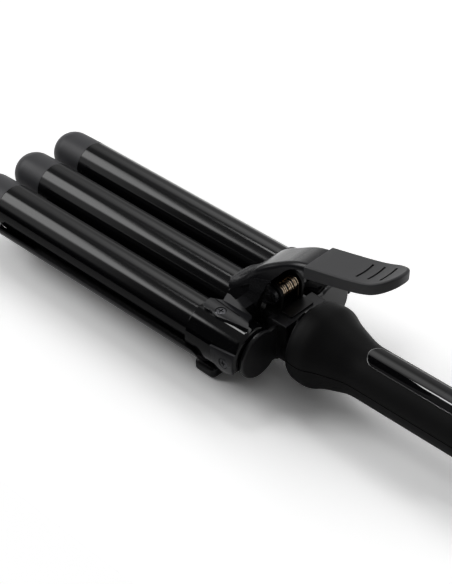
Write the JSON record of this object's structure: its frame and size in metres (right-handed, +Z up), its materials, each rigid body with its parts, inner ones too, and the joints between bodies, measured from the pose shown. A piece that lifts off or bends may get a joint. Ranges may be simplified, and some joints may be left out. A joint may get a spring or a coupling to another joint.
{
  "type": "hair waver",
  "caption": "Hair waver: round heated barrels in a sprung jaw with a thumb lever, over a troughed lower jaw, on a round handle with a bulbed front end.",
  "frame": {"origin": "middle of the bounding box in plan, on the surface the tool rests on", "axes": "+X along the handle towards the cord inlet, +Y across the barrels, +Z up, the barrels above the lower plate"},
  "size_m": [0.3468, 0.0796, 0.0839],
  "materials": {
    "barrel_coating": "gloss black coating on aluminium tube",
    "tip_plastic": "matte heat-resistant plastic",
    "heater_metal": "bare aluminium heater clamp",
    "sensor_glass": "glass bead sensor",
    "gloss_black": "high gloss black plastic",
    "cover_black": "satin black plastic",
    "yoke_black": "satin black painted casting",
    "lever_black": "matte black plastic",
    "screw_steel": "dark zinc plated steel",
    "pin_steel": "steel",
    "spring_brass": "brass coated spring wire",
    "head_black": "matte black plastic",
    "handle_black": "soft touch black coating",
    "panel_black": "high gloss black plastic",
    "lens_smoke": "smoked clear plastic",
    "board_green": "glass fibre board",
    "switch_black": "plastic and steel switch bodies",
    "button_black": "satin gloss plastic",
    "plate_coating": "gloss black coating on pressed aluminium",
    "base_black": "gloss black plastic",
    "rubber_black": "soft black rubber"
  },
  "bodies": {
    "handle": {"hinge_bracket": "pin_steel", "hinge_pin": "pin_steel", "pin_clips": "pin_steel", "torsion_spring": "spring_brass", "head_housing": "head_black", "neck_block": "head_black", "neck_collar": "head_black", "lever_stop": "cover_black", "handle_upper_shell": "handle_black", "handle_lower_shell": "handle_black", "control_panel": "panel_black", "display_lens": "lens_smoke", "circuit_board": "board_green", "tact_switches": "switch_black", "handle_end_cap": "handle_black", "cord_inlet": "rubber_black", "lower_plate": "plate_coating", "lower_base": "base_black", "base_screws": "screw_steel"},
    "jaw": {"barrel_front": "barrel_coating", "barrel_middle": "barrel_coating", "barrel_rear": "barrel_coating", "tip_front": "tip_plastic", "tip_middle": "tip_plastic", "tip_rear": "tip_plastic", "heater_front": "heater_metal", "heater_middle": "heater_metal", "heater_rear": "heater_metal", "temperature_sensor": "sensor_glass", "sleeve_front": "gloss_black", "sleeve_rear": "gloss_black", "lower_cover_front": "cover_black", "lower_cover_rear": "cover_black", "side_screws": "screw_steel", "yoke_screws": "screw_steel", "jaw_yoke": "yoke_black", "thumb_lever": "lever_black"},
    "power_button": {"power_button": "button_black"},
    "temp_up_button": {"temp_up_button": "button_black"},
    "temp_down_button": {"temp_down_button": "button_black"}
  },
  "joints": [
    {"name": "jaw_hinge", "type": "hinge", "parent": "handle", "child": "jaw", "pos_m": [0.00335, 0, 0.0434], "axis": [0, 1, 0], "range_deg": [0, 20], "stiffness_Nm_per_rad": 0.4, "springref_deg": -17.19},
    {"name": "power_press", "type": "slide", "parent": "handle", "child": "power_button", "axis": [0, 0, -1], "range_m": [0, 0.0007], "stiffness_N_per_m": 60},
    {"name": "temp_up_press", "type": "slide", "parent": "handle", "child": "temp_up_button", "axis": [0, 0, -1], "range_m": [0, 0.0007], "stiffness_N_per_m": 60},
    {"name": "temp_down_press", "type": "slide", "parent": "handle", "child": "temp_down_button", "axis": [0, 0, -1], "range_m": [0, 0.0007], "stiffness_N_per_m": 60}
  ]
}
